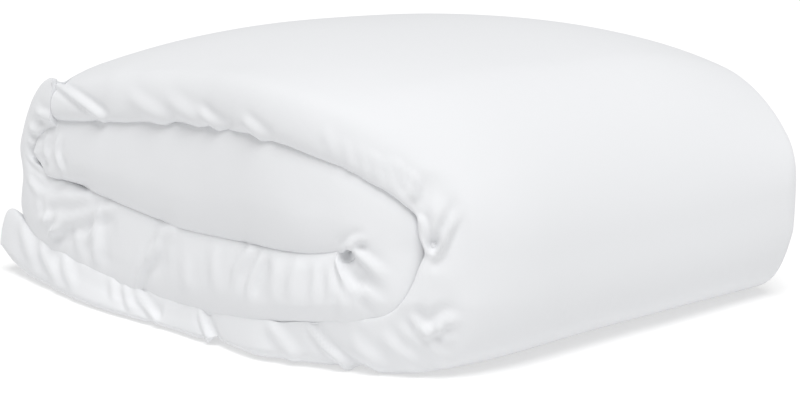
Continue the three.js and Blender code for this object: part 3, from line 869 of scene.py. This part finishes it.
@dataclass
class PaddedStrip:
    """One padded piece of the strip: a stretch of the spiral with its section carried along it."""

    roll: Roll
    settling: Settling
    section: Section
    stretch: Stretch
    creases: tuple[Crease, ...] = ()
    step: float = 2.7 * MM
    relief_share: float = 1.5
    relief_blur: int = 1
    relief_clear: float = 12 * MM  # length over which the relief fades at the free end
    end_round: float = 34 * MM
    tail_round: float = 52 * MM
    tail_centre: float = 0.34  # depth share that the tail thins to
    tail_level: float = 80 * MM  # length over which that becomes the middle
    thinnest: float = 0.0006  # square of the thickness share left at a free end
    joint_gap: float = 0.3 * MM
    joint_round: float = 14 * MM
    joint_thin: float = 0.012
    joint_band: float = 60 * MM  # width beside the front edge over which the joint stops thinning
    lowest: float = 0.3 * MM
    unevenness: tuple[float, float, int] = (1.3 * MM, 120 * MM, 3)  # height, cell and seed
    puckers: tuple[float, float, int] = (0.9 * MM, 38 * MM, 5)
    front_band: tuple[float, float] = (12 * MM, 55 * MM)  # relief: full up to here, then fading over this

    def limits(self) -> tuple[float, float]:
        """Where the stretch starts and ends along the roll."""
        split = self.roll.starts[3]
        if self.stretch is Stretch.WRAP:
            return 0.0, split
        return split, self.roll.starts[7]

    def distances(self) -> tuple[Array, Array, Array]:
        """The rows of the surface.

        Returns:
            The distances of the rows along the roll, and of each row from the joint with the other piece and
            from the free end.
        """
        start, end = self.limits()
        wrap = self.stretch is Stretch.WRAP
        count = int((end - start) / self.step)
        s = np.linspace(start, end - (self.joint_gap if wrap else 0.0), count)
        s = s + (0.0 if wrap else self.joint_gap) * (1.0 - (s - start) / (end - start))
        return (s, end - s, s - start) if wrap else (s, s - start, end - s)

    def thinning(self, y: Array, from_joint: Array, from_end: Array) -> Array:
        """The share of the strip's thickness that is left at each row and station.

        Formula: towards each end it falls as a quarter circle, to almost nothing at the free end and by a
        small share at the joint, where the front edge keeps its full thickness.
        """
        before_joint = 1.0 - np.clip(from_joint / self.joint_round, 0, 1)
        joint = 1.0 - self.joint_thin * (1.0 - np.sqrt(1.0 - before_joint**2))
        end_round = self.tail_round if self.stretch is Stretch.WRAP else self.end_round
        before_end = 1.0 - np.clip(from_end / end_round, 0, 1)
        free = np.sqrt(np.clip(1.0 - before_end**2, self.thinnest, 1.0))
        at_front = smooth((self.section.depth / 2 - self.joint_band + y) / self.joint_band)
        return (1.0 + (joint[:, None] - 1.0) * at_front) * free[:, None]

    def grid(self) -> tuple[Array, Array, Array]:
        """The piece's surface.

        Formula: at each row the section's stations become depths along the strip's normal and places in Y.

        Returns:
            The points (along, across, 3), the same before settling, and each row's distance from the free
            end.
        """
        core = self.stretch is Stretch.CORE
        s, from_joint, from_end = self.distances()
        point, normal, thickness = self.roll.strip(s)
        thickness = thickness[:, None]
        y, angle, share = (row[None, :] for row in self.section.stations())
        thin = self.thinning(y, from_joint, from_end)
        centre = 0.5
        if not core:
            centre = self.tail_centre + (0.5 - self.tail_centre) * smooth(from_end / self.tail_level)[:, None]
        bulge = self.section.front_curl(angle, normal[:, 1:], core)
        depth = thickness * (centre + (share - centre) * thin) + bulge
        reach = self.section.front_reach(angle, normal[:, 1:], thickness)
        front = self.section.front_share * thickness + self.section.front_least
        half = self.section.depth / 2
        grid_y = y + np.where(y < 0, front * np.clip(-y / half, 0, 1) ** 3, 0.0) - reach
        x, z = self.roll.square_folds(point[:, :1] + normal[:, :1] * depth,
                                      point[:, 1:] + normal[:, 1:] * depth, core)
        plain = np.stack([x, grid_y, z], -1)
        return self.settling.settle(plain), plain, from_end

    def relief(self, points: Array, plain: Array) -> Array:
        """How far the cloth stands out from the settled shape: a soft unevenness and the creases.

        The creases are softened over neighbouring points, so that a step's edge runs smoothly.

        Args:
            points: the settled surface.
            plain: the same surface before settling.
        """
        full, fade = self.front_band
        near = 1.0 - smooth((plain[..., 1] + self.section.depth / 2 - full) / fade)
        height, cell, seed = self.unevenness
        soft = height * lattice_noise(points, cell, seed)
        height, cell, seed = self.puckers
        soft = soft + height * near * lattice_noise(points, cell, seed)
        here = near > 0.01
        spots = on_front_plane(points[here])
        total = np.zeros(len(spots))
        for crease in self.creases:
            total += crease.relief(spots)
        pressed = np.zeros_like(soft)
        pressed[here] = self.relief_share * total * near[here]
        for _ in range(self.relief_blur):
            pressed[1:-1] = 0.25 * pressed[:-2] + 0.5 * pressed[1:-1] + 0.25 * pressed[2:]
            pressed = 0.25 * np.roll(pressed, 1, 1) + 0.5 * pressed + 0.25 * np.roll(pressed, -1, 1)
        return soft + pressed

    def build(self, cloth: bpy.types.Material) -> bpy.types.Object:
        """Makes the piece and gives it its cloth."""
        points, plain, from_end = self.grid()
        clear = smooth(from_end / self.relief_clear)[:, None]
        points = points + grid_normals(points) * (self.relief(points, plain) * clear)[..., None]
        points[..., 2] = np.maximum(points[..., 2], self.lowest)
        piece = closed_mesh(f"duvet_{self.stretch.value}", points, 3 * self.section.lobe_steps)
        piece.data.materials.append(cloth)
        LOG.info("%s: %d faces", piece.name, len(piece.data.polygons))
        return piece


@dataclass(frozen=True)
class SatinRibbon:
    """Woven polyester satin ribbon: smooth, with fine ribs across and a soft gleam."""

    name: str = "woven_satin_ribbon"
    colour: str = "F0EFEA"
    roughness: float = 0.42
    rib: float = 0.9 * MM  # real ribs are 0.3 mm apart, too fine to show, so they are drawn coarser

    def build(self) -> bpy.types.Material:
        """Makes the material: a wave along Z as bump, for the ribs."""
        material = bpy.data.materials.new(self.name)
        material.use_nodes = True
        tree = material.node_tree
        shader = tree.nodes["Principled BSDF"]
        shader.inputs["Base Color"].default_value = srgb(self.colour)
        shader.inputs["Roughness"].default_value = self.roughness
        shader.inputs["Sheen Weight"].default_value = 0.2
        place = add_node(tree, "ShaderNodeTexCoord").outputs["Object"]
        ribs = add_node(tree, "ShaderNodeTexWave",
                        {"Scale": 1 / (2 * np.pi * self.rib) * 0.5, "Distortion": 0.4}, {"Vector": place},
                        bands_direction="Z")
        bump = add_node(tree, "ShaderNodeBump", {"Strength": 0.3, "Distance": 0.2 * MM},
                        {"Height": ribs.outputs["Fac"]})
        tree.links.new(bump.outputs["Normal"], shader.inputs["Normal"])
        return material


@dataclass(frozen=True)
class CastPolyester:
    """Cast polyester shirt button: milky, glossy, with a faint pearly cloud."""

    name: str = "cast_polyester_button"
    colour: str = "EDEBE4"
    cloud_colour: str = "DAD8D0"
    roughness: float = 0.28
    cloud: float = 4 * MM

    def build(self) -> bpy.types.Material:
        """Makes the material: two milky tones mixed by a slow noise."""
        material = bpy.data.materials.new(self.name)
        material.use_nodes = True
        tree = material.node_tree
        shader = tree.nodes["Principled BSDF"]
        shader.inputs["Roughness"].default_value = self.roughness
        place = add_node(tree, "ShaderNodeTexCoord").outputs["Object"]
        cloud = add_node(tree, "ShaderNodeTexNoise", {"Scale": 1 / self.cloud, "Detail": 2.0},
                         {"Vector": place})
        ramp = add_node(tree, "ShaderNodeValToRGB", links={"Fac": cloud.outputs["Fac"]})
        ramp.color_ramp.elements[0].color = srgb(self.cloud_colour)
        ramp.color_ramp.elements[1].color = srgb(self.colour)
        tree.links.new(ramp.outputs["Color"], shader.inputs["Base Color"])
        return material


@dataclass
class CareLabel:
    """The blank care label: a ribbon sewn by its top into the top run's hem, hanging a little bowed."""

    low: Array
    high: Array
    tuck: float = 9 * MM
    thickness: float = 0.5 * MM
    bow: float = 1.0 * MM
    behind: float = 0.4 * MM  # how far its inner side lies in from the CAD label's outer side
    steps: tuple[int, int] = (14, 30)  # across and down
    bend_over: tuple[float, float] = (7.2 * MM, 4 * MM)  # where a bend over the hem would start, and where under it it would end; not used

    def build(self, ribbon: bpy.types.Material) -> bpy.types.Object:
        """Makes the ribbon as a thin closed sheet.

        Formula: a rectangle in X and Z whose Y leans out towards the lower end and bows across its width.
        """
        x = np.linspace(self.low[0], self.high[0], self.steps[0])[None, :]
        z = np.linspace(self.low[2], self.high[2] + self.tuck, self.steps[1])[:, None]
        down = (z[-1] - z) / (z[-1] - z[0])
        across = (x - x.mean()) / (x.max() - x.min())
        y = self.high[1] - self.behind + self.bow * (1.5 * down**2 - 2.0 * across**2 * down)
        back = np.stack(np.broadcast_arrays(x, y + self.thickness, z), -1)
        front = np.stack(np.broadcast_arrays(x, y, z), -1)
        points = np.concatenate([back, front[:, ::-1]], axis=1)
        piece = closed_mesh("care_label_ribbon", points)
        piece.data.materials.append(ribbon)
        return piece


@dataclass
class FootButtons:
    """The buttons of the foot opening, which are the CAD's own."""

    names: list[str]

    def build(self, plastic: bpy.types.Material) -> None:
        """Gives each button its plastic."""
        for name in self.names:
            for slot in bpy.data.objects[name].material_slots:
                slot.material = plastic
        LOG.info("%d buttons dressed", len(self.names))


def main() -> None:
    """Builds the duvet round the frame, hides the CAD parts that it replaces and hangs the core on the flap.
    """
    logging.basicConfig(level=logging.INFO, format="%(name)s: %(message)s")
    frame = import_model()
    cad_box = [list(map(float, corner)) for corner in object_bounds()]
    low, high = (np.array(corner) for corner in cad_box)
    unroll = next(joint for joint in frame["joints"] if joint["name"] == "unroll")
    Studio().build()

    roll = Roll(width=high[0] - low[0], depth=high[1] - low[1], axis_x=unroll["pos_m"][0],
                axis_z=unroll["pos_m"][2])
    section = Section(depth=roll.depth)
    settling = Settling(roll)
    cloth = CottonPercale().build()
    wrap = PaddedStrip(roll, settling, section, Stretch.WRAP, WRAP_CREASES).build(cloth)
    core = PaddedStrip(roll, settling, section, Stretch.CORE, CORE_CREASES).build(cloth)
    nodes = list(frame["nodes"])
    buttons = [name for name in nodes if name.startswith("button")]
    base = frame["record"]["behaviour"]["bodies"]["base"]
    in_wrap = [name for name in nodes if name in base or "row4" in name]
    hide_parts(*in_wrap)
    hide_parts(*[name for name in nodes if name not in (*in_wrap, *buttons, "care_label")])
    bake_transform(wrap)
    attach(core, "flap")

    low_label, high_label = (np.array(corner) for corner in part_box("care_label"))
    label = CareLabel(low_label, high_label)
    ribbon = label.build(SatinRibbon().build())
    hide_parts("care_label")
    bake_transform(ribbon)
    LOG.info("%s: %d faces", ribbon.name, len(ribbon.data.polygons))
    FootButtons(buttons).build(CastPolyester().build())


if __name__ == "__main__":
    main()
